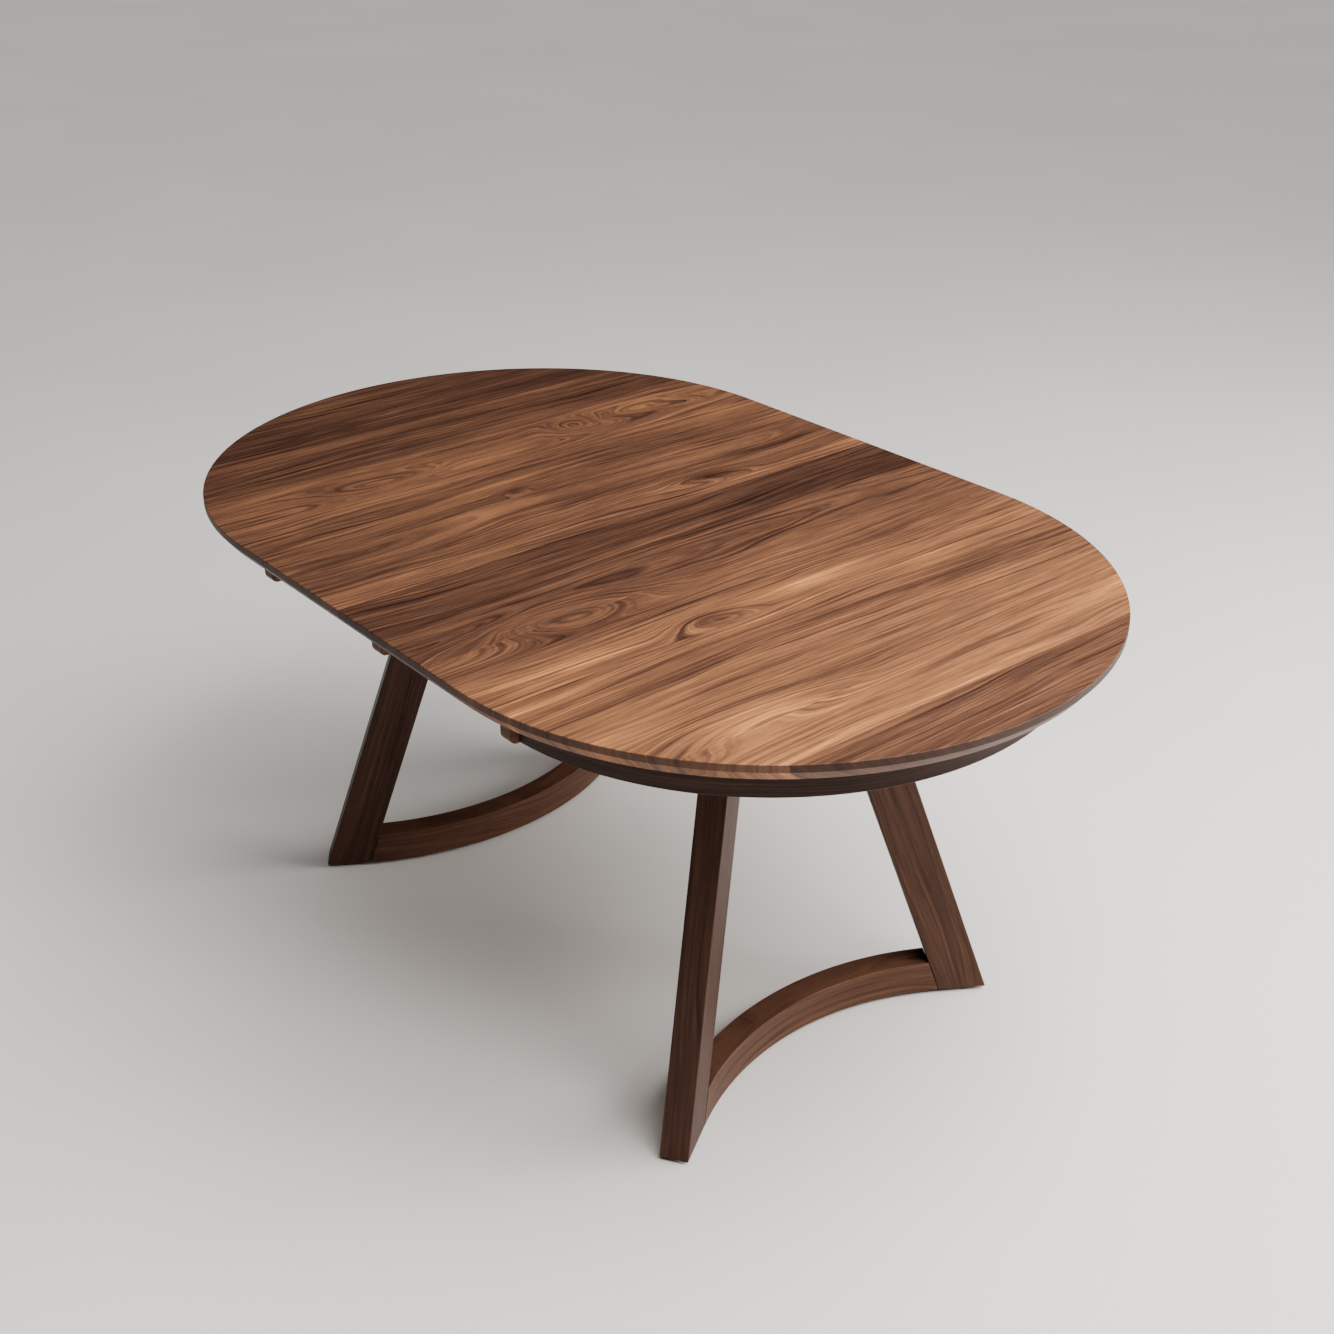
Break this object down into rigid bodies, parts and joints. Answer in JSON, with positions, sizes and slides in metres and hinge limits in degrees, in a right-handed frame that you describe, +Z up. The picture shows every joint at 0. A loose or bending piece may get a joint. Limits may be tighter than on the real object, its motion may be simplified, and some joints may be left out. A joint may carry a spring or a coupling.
{
  "type": "extendable dining table",
  "caption": "Extendable walnut dining table with half-round ends, loose leaves in the middle and a split base of leaning legs on curved floor stretchers.",
  "frame": {"origin": "on the floor under the middle of the opened table", "axes": "+X along the opened table towards its near end, +Y across it, +Z up"},
  "size_m": [1.61, 1.016, 0.75],
  "materials": {
    "walnut_top": "oiled walnut, satin",
    "walnut_leaf": "oiled walnut, satin",
    "walnut_base": "oiled dark walnut, satin",
    "walnut_frame": "oiled walnut, satin",
    "beech_slide": "waxed beech",
    "steel": "zinc plated",
    "black_plastic": "matt black"
  },
  "bodies": {
    "far_base": {"top_half_far": "walnut_top", "apron_far": "walnut_base", "cross_rail_far": "walnut_frame", "head_block_far": "walnut_frame", "stretcher_far": "walnut_base", "top_bolt_far_1": "steel", "top_bolt_far_2": "steel", "top_bolt_far_3": "steel", "top_bolt_far_4": "steel", "slide_runner_far_left": "beech_slide", "slide_runner_far_right": "beech_slide", "stop_peg_far_left": "beech_slide", "stop_peg_far_right": "beech_slide", "leg_far_left": "walnut_base", "leg_far_right": "walnut_base", "leg_bolt_far_left": "steel", "leg_bolt_far_right": "steel", "glider_far_left": "black_plastic", "glider_far_right": "black_plastic"},
    "centre_frame": {"cross_rail_centre": "walnut_frame", "slide_runner_middle_left": "beech_slide", "slide_runner_middle_right": "beech_slide"},
    "near_base": {"top_half_near": "walnut_top", "apron_near": "walnut_base", "cross_rail_near": "walnut_frame", "head_block_near": "walnut_frame", "stretcher_near": "walnut_base", "top_bolt_near_1": "steel", "top_bolt_near_2": "steel", "top_bolt_near_3": "steel", "top_bolt_near_4": "steel", "slide_runner_near_left": "beech_slide", "slide_runner_near_right": "beech_slide", "stop_peg_near_left": "beech_slide", "stop_peg_near_right": "beech_slide", "leg_near_left": "walnut_base", "leg_near_right": "walnut_base", "leg_bolt_near_left": "steel", "leg_bolt_near_right": "steel", "glider_near_left": "black_plastic", "glider_near_right": "black_plastic"},
    "near_leaf": {"leaf_near": "walnut_leaf", "leaf_batten_near_left": "walnut_frame", "leaf_batten_near_right": "walnut_frame"},
    "far_leaf": {"leaf_far": "walnut_leaf", "leaf_batten_far_left": "walnut_frame", "leaf_batten_far_right": "walnut_frame"}
  },
  "joints": [
    {"name": "centre_slide", "type": "slide", "parent": "far_base", "child": "centre_frame", "axis": [1, 0, 0], "range_m": [0, 0.015]},
    {"name": "near_slide", "type": "slide", "parent": "centre_frame", "child": "near_base", "axis": [1, 0, 0], "range_m": [0, 0.015]},
    {"name": "near_leaf_lift", "type": "slide", "parent": "centre_frame", "child": "near_leaf", "axis": [0, 0, 1], "range_m": [0, 0.35]},
    {"name": "far_leaf_lift", "type": "slide", "parent": "centre_frame", "child": "far_leaf", "axis": [0, 0, 1], "range_m": [0, 0.35]}
  ]
}
